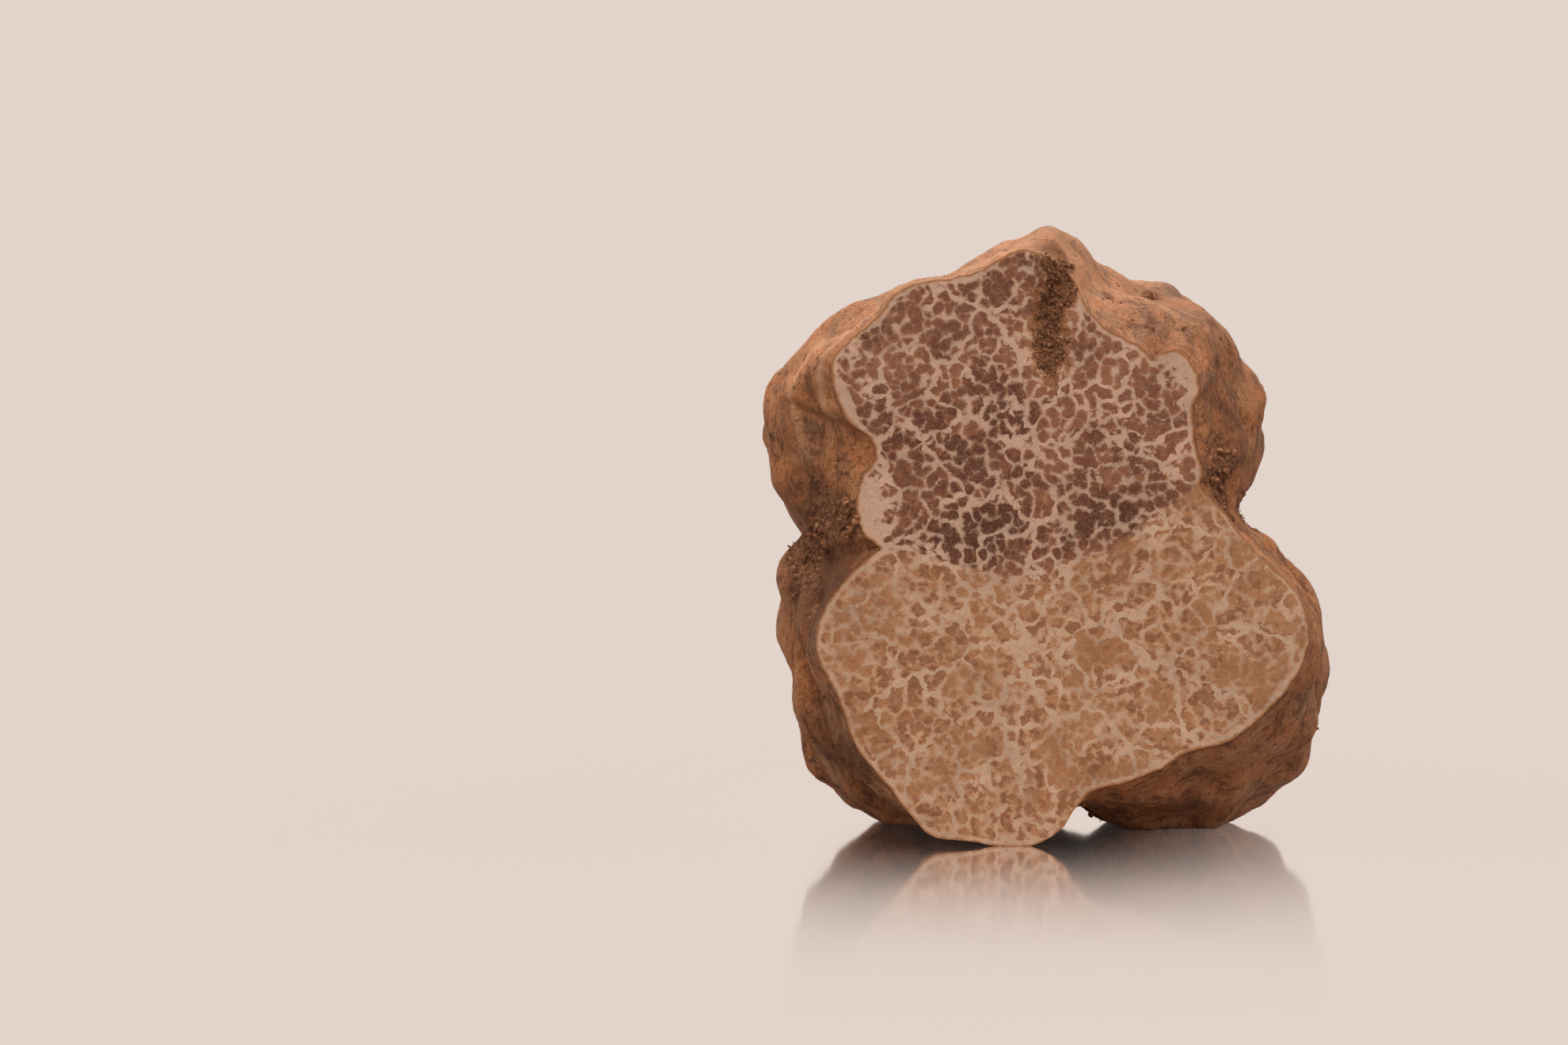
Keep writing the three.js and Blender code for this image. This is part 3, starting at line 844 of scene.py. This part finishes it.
def makeSpeckGroup():
    # fine shade and small dark specks, as a factor on a colour
    group, given, out = newGroup(
        "specks", [("Where", "Vector", None), ("Shade", "Float", 0.2), ("Specks", "Float", 0.4)],
        [("Factor", "Float"), ("Mask", "Float")])
    where = given["Where"]
    fine = centredNoise(group, where, 0.3, 3.0, 0.65)
    broad = centredNoise(group, where, 5.0, 2.0)
    shade = times(group, total(group, fine, broad), given["Shade"])
    mask = ramp(group, noise(group, where, 0.5, 4.0, 0.65), 0.6, 0.67)
    dim = times(group, mask, given["Specks"])
    feed(group, out["Factor"], math(group, "SUBTRACT", total(group, shade, 1.0), dim))
    feed(group, out["Mask"], mask)
    return group


gritGroup = makeGritGroup()
speckGroup = makeSpeckGroup()
soilRoughness = 0.95


def soilGrit(tree, where, look):
    dark, light = ((*look[name], 1) for name in ("soilDark", "soilLight"))
    return useGroup(tree, gritGroup, Where=where, Dark=dark, Light=light)


def finishSurface(tree, shader, look, colour, packed, height):
    # the shader's inputs, rougher where soil is packed, and the height as a bump
    feed(tree, shader.inputs["Base Color"], colour)
    feed(tree, shader.inputs["Specular IOR Level"], look["specular"])
    roughness = ramp(tree, packed, 0.0, 1.0, look["roughness"], soilRoughness)
    feed(tree, shader.inputs["Roughness"], roughness)
    bump = {"Height": height, "Distance": look["bump"] * mm, "Strength": look["bumpStrength"]}
    feed(tree, shader.inputs["Normal"], addNode(tree, "Bump", bump).outputs[0])


fleshLook = {
    "deepCell": (0.105, 0.034, 0.019),
    "darkCell": (0.16, 0.056, 0.03),
    "warmCell": (0.3, 0.12, 0.062),
    "darkTan": (0.27, 0.108, 0.05),
    "warmTan": (0.46, 0.2, 0.088),
    "upperVein": (0.53, 0.328, 0.225),
    "lowerVein": (0.54, 0.342, 0.226),
    "edge": (0.36, 0.15, 0.058),
    "stain": (0.33, 0.13, 0.045),
    "soilDark": (0.055, 0.022, 0.012),
    "soilLight": (0.24, 0.095, 0.042),
    # pairs are for the upper and the lower flesh, in millimetres where they are sizes
    "cellGaps": (2.9, 2.7),  # at the heart, and more away from it
    "clumpGaps": (4.4, 5.0),
    "growths": (0.5, 0.4),  # less draws cells out more, away from the heart
    "thinVeins": (0.02, 0.18),
    "wideVeins": (0.46, 0.72),  # between clumps of cells
    "ragged": (0.9, 2.6),
    "blurs": (0.22, 0.52),  # half width of a cell's edge
    "threadWidths": (0.03, 0.06),
    "threadTones": (0.88, 0.84),
    "bends": ((2.2, 1.0, 1.0), (0.8, 3.0, 0.65)),  # size, detail and strength
    "fray": 0.5,  # how far fine grain moves a cell's edge, in millimetres
    "calm": 0.22,  # how much veins of the lower flesh fade in its smooth patches
    "bump": 0.1,  # millimetres
    "bumpStrength": 0.8,
    "roughness": 0.5,
    "specular": 0.16,
}


cellLook = {
    "blobGap": 1.15,
    "plump": 0.74,  # radius of a blob, in millimetres
    "reach": 9.0,  # past this far from the heart, cells are drawn out
}


def makeCellGroup():
    # Small round blobs are gathered into cells, and cells into clumps, by which cell and clump each blob's
    # middle falls in. Gives how many millimetres in from the edge of its blob, cell and clump a place is,
    # less than 0 outside them, and chance numbers for the cell and the blob.
    group, given, out = newGroup(
        "cells",
        [("Where", "Vector", None), ("Heart", "Vector", None), ("Growth", "Float", 0.6),
         ("CellGap", "Float", 2.2), ("ClumpGap", "Float", 5.0)],
        [(name, "Float") for name in ("InBlob", "InCell", "InClump", "Tone", "Chance")])

    def cells(where, gap, **settings):
        scale = math(group, "DIVIDE", 1.0, gap)
        return addNode(group, "TexVoronoi", {"Vector": where, "Scale": scale}, voronoi_dimensions="2D",
                       **settings).outputs

    def placeOf(point):
        # the way out from the heart of the lobe, shortened more and more, so that cells there are drawn out
        offset = vectorMath(group, "SUBTRACT", point, given["Heart"])
        away = total(group, vectorMath(group, "LENGTH", offset), 0.01)
        fall = math(group, "EXPONENT", math(group, "DIVIDE", away, -cellLook["reach"]))
        near = times(group, math(group, "SUBTRACT", 1.0, fall), cellLook["reach"])
        way = addNode(group, "Mix", {0: given["Growth"], 2: near, 3: away}, data_type="FLOAT").outputs[0]
        return vectorMath(group, "SCALE", offset, scale=math(group, "DIVIDE", way, away))

    first = cells(given["Where"], cellLook["blobGap"])
    second = cells(given["Where"], cellLook["blobGap"], feature="F2")
    away = [vectorMath(group, "DISTANCE", given["Where"], blob["Position"]) for blob in (first, second)]
    apart = vectorMath(group, "DISTANCE", first["Position"], second["Position"])
    between = math(group, "SUBTRACT", away[1], away[0])
    between = times(group, between, total(group, away[1], away[0]))
    between = math(group, "DIVIDE", between, times(group, apart, 2.0))
    places = [placeOf(blob["Position"]) for blob in (first, second)]
    for name, gap in (("InCell", given["CellGap"]), ("InClump", given["ClumpGap"])):
        owners = [cells(place, gap)["Color"] for place in places]
        isSame = math(group, "LESS_THAN", vectorMath(group, "DISTANCE", *owners), 0.001)
        feed(group, out[name], total(group, between, times(group, isSame, 9.0)))
        if name == "InCell":
            feed(group, out["Tone"], addNode(group, "SeparateColor", {"Color": owners[0]}).outputs[0])
    feed(group, out["InBlob"], math(group, "SUBTRACT", cellLook["plump"], away[0]))
    feed(group, out["Chance"], addNode(group, "SeparateColor", {"Color": first["Color"]}).outputs[0])
    return group


def heartOf(tree, lower):
    # the upper or the lower heart, with a sharp change between them
    upperHeart, lowerHeart = ((*marbling[name], 0) for name in ("upperHeart", "lowerHeart"))
    isLower = math(tree, "GREATER_THAN", lower, 0.5)
    return addNode(tree, "Mix", {0: isLower, 4: upperHeart, 5: lowerHeart}, data_type="VECTOR").outputs[1]


def makeFleshMaterial():
    look = fleshLook
    material, tree, shader = newMaterial("cutFlesh")
    where = millimetres(tree)
    streak = addNode(tree, "Attribute", attribute_name="streak").outputs["Vector"]
    lower, grain, soil, deep = (attribute(tree, name) for name in ("lower", "grain", "soil", "deep"))
    ground = centredNoise(tree, where, 0.2, 2.0, 0.6)
    fine = centredNoise(tree, where, 0.32, 2.0, 0.6)
    broad = centredNoise(tree, where, 0.9)
    ragged = centredNoise(tree, where, 1.5, 6.0, 0.7, 0.4)
    wide = centredNoise(tree, where, 4.5)

    def either(name):
        upperValue, lowerValue = look[name]
        return addNode(tree, "Mix", {0: lower, 2: upperValue, 3: lowerValue}, data_type="FLOAT").outputs[0]

    # x and z of the place, wavering
    bent = where
    for size, detail, strength in look["bends"]:
        bend = addNode(tree, "TexNoise", {"Vector": where, "Scale": 1 / size, "Detail": detail})
        moved = vectorMath(tree, "SCALE", bend.outputs["Color"], scale=strength)
        bent = vectorMath(tree, "ADD", bent, moved)
    split = addNode(tree, "SeparateXYZ", {0: bent}).outputs
    bent = addNode(tree, "CombineXYZ", {"X": split["X"], "Y": split["Z"]}).outputs[0]
    cell = useGroup(tree, makeCellGroup(), Where=bent, Heart=heartOf(tree, lower), Growth=either("growths"),
                    CellGap=either("cellGaps"), ClumpGap=either("clumpGaps"))
    # veins: thin between cells, coming and going, and wide between clumps of cells
    thinVein = total(tree, either("thinVeins"), times(tree, wide, 2.6), times(tree, broad, 0.7))
    wideVein = total(tree, times(tree, wide, 3.0), either("wideVeins"))
    inCell = math(tree, "SUBTRACT", cell["InCell"], thinVein)
    inClump = math(tree, "SUBTRACT", cell["InClump"], wideVein)
    inside = math(tree, "SMOOTH_MIN", inCell, cell["InBlob"], third=0.3)
    inside = math(tree, "SMOOTH_MIN", inside, inClump, third=0.2)
    inside = math(tree, "SUBTRACT", inside, attribute(tree, "pale"))
    # the lower flesh has smooth patches where the veins fade
    calm = times(tree, ramp(tree, noise(tree, where, 8.0, 2.0), 0.46, 0.62), lower)
    fray = times(tree, fine, ramp(tree, grain, 0.0, 1.0, look["fray"], look["fray"] * 2.6))
    patchy = times(tree, broad, ramp(tree, grain, 0.0, 1.0, 0.3, 1.1))
    patchy = total(tree, patchy, times(tree, ragged, either("ragged")))
    inside = total(tree, inside, times(tree, calm, look["calm"]), total(tree, fray, patchy))
    blur = either("blurs")
    dark = ramp(tree, inside, times(tree, blur, -1.0), blur)
    # pale threads run out from the heart
    thread = math(tree, "ABSOLUTE", centredNoise(tree, streak, 1.8, 3.0, 0.6, 0.6))
    dark = times(tree, dark, ramp(tree, thread, 0.0, either("threadWidths"), either("threadTones"), 1.0))
    # cells are darkest in their middles and in the deep patches
    tone = total(tree, times(tree, broad, 0.7), times(tree, ground, 0.5),
                 ramp(tree, inside, 0.0, 0.45, 0.35, -0.1), times(tree, cell["Tone"], 0.8))
    tone = math(tree, "ADD", tone, times(tree, deep, -0.5), clamp=True)
    upperCell = mixColour(tree, tone, look["darkCell"], look["warmCell"])
    deepest = ramp(tree, math(tree, "SUBTRACT", deep, tone), 0.0, 0.8)
    upperCell = mixColour(tree, deepest, upperCell, look["deepCell"])
    brown = total(tree, times(tree, cell["Chance"], 0.4), times(tree, cell["Tone"], 0.6),
                  total(tree, times(tree, wide, 0.8), broad))
    brown = times(tree, ramp(tree, brown, 0.35, 0.75), ramp(tree, inside, 0.0, 0.4))
    lowerCell = mixColour(tree, brown, look["warmTan"], look["darkTan"])
    lowerCell = mixColour(tree, 1.0, lowerCell, ramp(tree, tone, 0.0, 1.0, 0.84, 1.06), "MULTIPLY")
    darkFlesh = mixColour(tree, lower, upperCell, lowerCell)
    darkFlesh = mixColour(tree, 1.0, darkFlesh, ramp(tree, ground, 0.08, 0.24, 1.0, 0.72), "MULTIPLY")
    darkFlesh = mixColour(tree, ramp(tree, ground, -0.08, -0.2, 0.0, 0.35), darkFlesh, look["lowerVein"])
    vein = mixColour(tree, lower, look["upperVein"], look["lowerVein"])
    colour = mixColour(tree, dark, vein, darkFlesh)
    shade = total(tree, times(tree, fine, 0.5), times(tree, broad, 0.4), times(tree, wide, 0.6), 1.0)
    colour = mixColour(tree, 1.0, colour, shade, "MULTIPLY")
    rimGap = total(tree, attribute(tree, "rimGap"), times(tree, broad, 0.5))
    colour = mixColour(tree, ramp(tree, rimGap, 0.42, 0.12), colour, look["edge"])
    # the cleft: an ochre stain round packed soil
    grit = soilGrit(tree, where, look)
    soilEdge = total(tree, soil, total(tree, fine, broad))
    colour = mixColour(tree, ramp(tree, soilEdge, 0.05, 0.5, 0.0, 0.8), colour, look["stain"])
    packed = ramp(tree, soilEdge, 0.4, 0.62)
    colour = mixColour(tree, packed, colour, grit["Color"])
    gritHeight = times(tree, packed, grit["Height"])
    height = total(tree, times(tree, ground, 0.8), broad, times(tree, gritHeight, 2.5))
    finishSurface(tree, shader, look, colour, packed, height)
    return material


skinLook = {
    "orange": (0.5, 0.178, 0.064),
    "tan": (0.55, 0.245, 0.11),
    "brown": (0.2, 0.065, 0.026),
    # stain: dark stain and mottles, and also the colour of painted shade in sunk parts and hollows
    "stain": (0.1, 0.034, 0.014),
    "grey": (0.16, 0.068, 0.038),
    # crest: pale fibres and crests, and also the colour of the painted highlight on raised parts
    "crest": (0.68, 0.35, 0.185),
    # painted light of the top of the skin
    "paintedTopLight": (0.74, 0.43, 0.27),
    "soilDark": (0.12, 0.046, 0.023),
    "soilLight": (0.38, 0.16, 0.08),
    "speck": (0.045, 0.02, 0.012),
    "bump": 0.2,
    "bumpStrength": 1.0,
    "roughness": 0.6,
    "specular": 0.16,
}


def makeSkinMaterial():
    look = skinLook
    material, tree, shader = newMaterial("skin")
    where = millimetres(tree)
    along = addNode(tree, "Attribute", attribute_name="along").outputs["Vector"]
    soil, dark, crest, relief = (attribute(tree, name) for name in ("soil", "dark", "crest", "relief"))

    def blend(colour, name, value, low, high, most):
        # towards one of the look's colours as the value goes from low to high
        return mixColour(tree, ramp(tree, value, low, high, 0.0, most), colour, look[name])

    # broad mottling, then thin fibres round the body, then a painted highlight on raised parts and painted
    # shade in sunk parts
    colour = blend(look["orange"], "tan", noise(tree, where, 6.0, 4.0, 0.6), 0.4, 0.68, 1.0)
    mottle = noise(tree, along, 1.5, 6.0, 0.75, 0.7)
    colour = blend(colour, "brown", mottle, 0.51, 0.6, 0.85)
    greyPatch = noise(tree, where, 4.2, 7.0, 0.75, 0.5)
    colour = blend(colour, "grey", greyPatch, 0.52, 0.62, 0.8)
    fibre = noise(tree, along, 0.35, 5.0, 0.75, 0.6)
    colour = blend(colour, "crest", fibre, 0.52, 0.66, 0.45)
    colour = blend(colour, "brown", fibre, 0.47, 0.36, 0.6)
    colour = blend(colour, "crest", relief, 0.02, 0.35, 0.35)
    colour = blend(colour, "stain", relief, -0.03, -0.3, 0.6)
    # the sharp crests paler: pale skin, with a painted highlight on them
    colour = mixColour(tree, times(tree, crest, 0.75), colour, look["crest"])
    # painted light: paler towards the top, as if lit from above
    height = addNode(tree, "SeparateXYZ", {0: where}).outputs["Z"]
    paintedTopLight = total(tree, height, times(tree, math(tree, "SUBTRACT", greyPatch, 0.5), 30.0))
    colour = blend(colour, "paintedTopLight", paintedTopLight, 50.0, 84.0, 0.36)
    # towards the stain colour by dark, which is stain and painted shade, and by dark mottles
    colour = blend(colour, "stain", total(tree, dark, math(tree, "SUBTRACT", mottle, 0.5)), 0.05, 1.0, 0.85)
    specks = useGroup(tree, speckGroup, Where=where, Shade=0.7, Specks=0.0)
    colour = mixColour(tree, 1.0, colour, specks["Factor"], "MULTIPLY")
    colour = mixColour(tree, times(tree, specks["Mask"], 0.8), colour, look["speck"])
    # soil, packed into the hollows with ragged edges
    grit = soilGrit(tree, where, look)
    patchy = times(tree, centredNoise(tree, where, 1.0, 6.0, 0.75), 2.2)
    packed = ramp(tree, total(tree, soil, patchy), 0.3, 0.8, 0.0, 0.9)
    colour = mixColour(tree, packed, colour, grit["Color"])
    gritHeight = times(tree, packed, grit["Height"])
    height = total(tree, times(tree, fibre, 1.8), times(tree, specks["Mask"], -0.5),
                   times(tree, noise(tree, where, 0.7, 6.0, 0.8), 2.6), times(tree, gritHeight, 1.6))
    finishSurface(tree, shader, look, colour, packed, height)
    return material


def makeTruffle():
    points, cutFaces, skinFaces, values, onPicture = truffleArrays()
    mesh = makeMesh("truffleBody", placedAs(points, points), np.concatenate([cutFaces, skinFaces]))
    for name, value in values.items():
        kind, field = ("FLOAT", "value") if value.ndim == 1 else ("FLOAT_VECTOR", "vector")
        mesh.attributes.new(name, kind, "POINT").data.foreach_set(field, value.astype(np.float32).ravel())
    mesh.uv_layers.new(name="OFBake").uv.foreach_set("vector", onPicture.astype(np.float32).ravel())
    isSkin = np.arange(len(mesh.polygons)) >= len(cutFaces)
    mesh.polygons.foreach_set("material_index", isSkin.astype(np.int32))
    # the cut's rim is a crisp edge between the two materials
    rimPoint = np.zeros(len(points), bool)
    rimPoint[np.intersect1d(cutFaces, skinFaces)] = True
    ends = np.empty(2 * len(mesh.edges), np.int32)
    mesh.edges.foreach_get("vertices", ends)
    ends = ends.reshape(-1, 2)
    sharp = mesh.attributes.new("sharp_edge", "BOOLEAN", "EDGE")
    sharp.data.foreach_set("value", rimPoint[ends].all(1))
    addPiece("truffleBody", mesh, [makeFleshMaterial(), makeSkinMaterial()], "truffle")
    print("truffle made with", len(mesh.polygons), "triangles")
    return points, values, np.unique(skinFaces)


# Crumbs of soil that cling to the skin and fill the cleft
crumbs = {
    "seed": 5,
    "onSkin": 900,
    "inCleft": 420,
    "smallest": 0.12,
    "largest": 0.4,
    "cleftSmallest": 0.07,
    "cleftLargest": 0.2,
    "lift": 0.3,  # of the middle over the surface, as a share of the size
    "scatter": 0.2,  # millimetres each way
    "uneven": (0.72, 1.25),
    "squash": (0.65, 1.2),
    "sides": 6,
    "rings": 3,
    "dark": (0.12, 0.046, 0.022),
    "light": (0.36, 0.16, 0.08),
    "specular": 0.1,
}


def lumpFaces(sides, rings):
    # triangles of a ball: rings of so many points each, between a point at either end
    ring = np.arange(sides)
    onwards = (ring + 1) % sides
    faces = [np.stack([ring, onwards, ring * 0 + sides * rings], -1)]
    for k in range(rings - 1):
        a, b, c, d = ring + k * sides, onwards + k * sides, ring + (k + 1) * sides, onwards + (k + 1) * sides
        faces += [np.stack([a, c, b], -1), np.stack([b, c, d], -1)]
    last = (rings - 1) * sides
    faces.append(np.stack([ring + last, ring * 0 + sides * rings + 1, onwards + last], -1))
    return np.concatenate(faces)


def makeCrumbs(points, values, skinIndex):
    # uneven lumps, more and larger where soil clings, half sunk in the surface on average. The scatter
    # hides some of them under it and leaves others a quarter of a millimetre clear of it at most.
    c = crumbs
    random = np.random.default_rng(c["seed"])
    inCleft = np.flatnonzero((values["soil"] > 0.55) & (np.arange(len(points)) < skinIndex.max()))
    inCleft = np.setdiff1d(inCleft, skinIndex)
    weight = values["soil"][skinIndex] ** 2 + 0.012
    places = np.concatenate([random.choice(skinIndex, c["onSkin"], p=weight / weight.sum()),
                             random.choice(inCleft, c["inCleft"])])
    onSkin = np.arange(len(places)) < c["onSkin"]
    size = random.random(len(places)) ** 3 * np.where(onSkin, c["largest"], c["cleftLargest"])
    size += np.where(onSkin, c["smallest"], c["cleftSmallest"])
    size *= 0.35 + 0.65 * values["soil"][places]
    outward = np.where(onSkin[:, None], outwardOf(points[places]), (0, -1, 0))
    middle = points[places] + outward * (c["lift"] * size)[:, None]
    middle += random.uniform(-c["scatter"], c["scatter"], (len(places), 3))
    keep = middle[:, 2] > 1.5 * size
    middle, size = middle[keep], size[keep]

    sides, rings = c["sides"], c["rings"]
    up = np.repeat(np.cos(np.pi * (np.arange(rings) + 1) / (rings + 1)), sides)
    turn = np.tile(np.arange(sides) * 2 * np.pi / sides, rings)
    across = np.sqrt(1 - up**2)
    ball = np.stack([across * np.cos(turn), across * np.sin(turn), up], -1)
    ball = np.concatenate([ball, [(0, 0, 1), (0, 0, -1)]])
    uneven = random.uniform(*c["uneven"], (len(middle), len(ball), 1))
    squash = random.uniform(*c["squash"], (len(middle), 1, 3))
    lumps = middle[:, None] + ball * uneven * squash * size[:, None, None]
    faces = lumpFaces(sides, rings) + np.arange(len(middle))[:, None, None] * len(ball)
    mesh = makeMesh("soilCrumbs", placedAs(points, lumps.reshape(-1, 3)), faces.reshape(-1, 3))
    mesh.shade_flat()
    tones = np.repeat(random.random(len(middle)), len(ball))
    mesh.attributes.new("tone", "FLOAT", "POINT").data.foreach_set("value", tones.astype(np.float32))
    material, tree, shader = newMaterial("crumbs")
    grain = centredNoise(tree, millimetres(tree), 0.4, 2.0)
    tone = math(tree, "ADD", attribute(tree, "tone"), grain, clamp=True)
    feed(tree, shader.inputs["Base Color"], mixColour(tree, tone, c["dark"], c["light"]))
    feed(tree, shader.inputs["Roughness"], soilRoughness)
    feed(tree, shader.inputs["Specular IOR Level"], c["specular"])
    addPiece("soilCrumbs", mesh, material)
    print("crumbs made with", len(mesh.polygons), "triangles")


makeCrumbs(*makeTruffle())
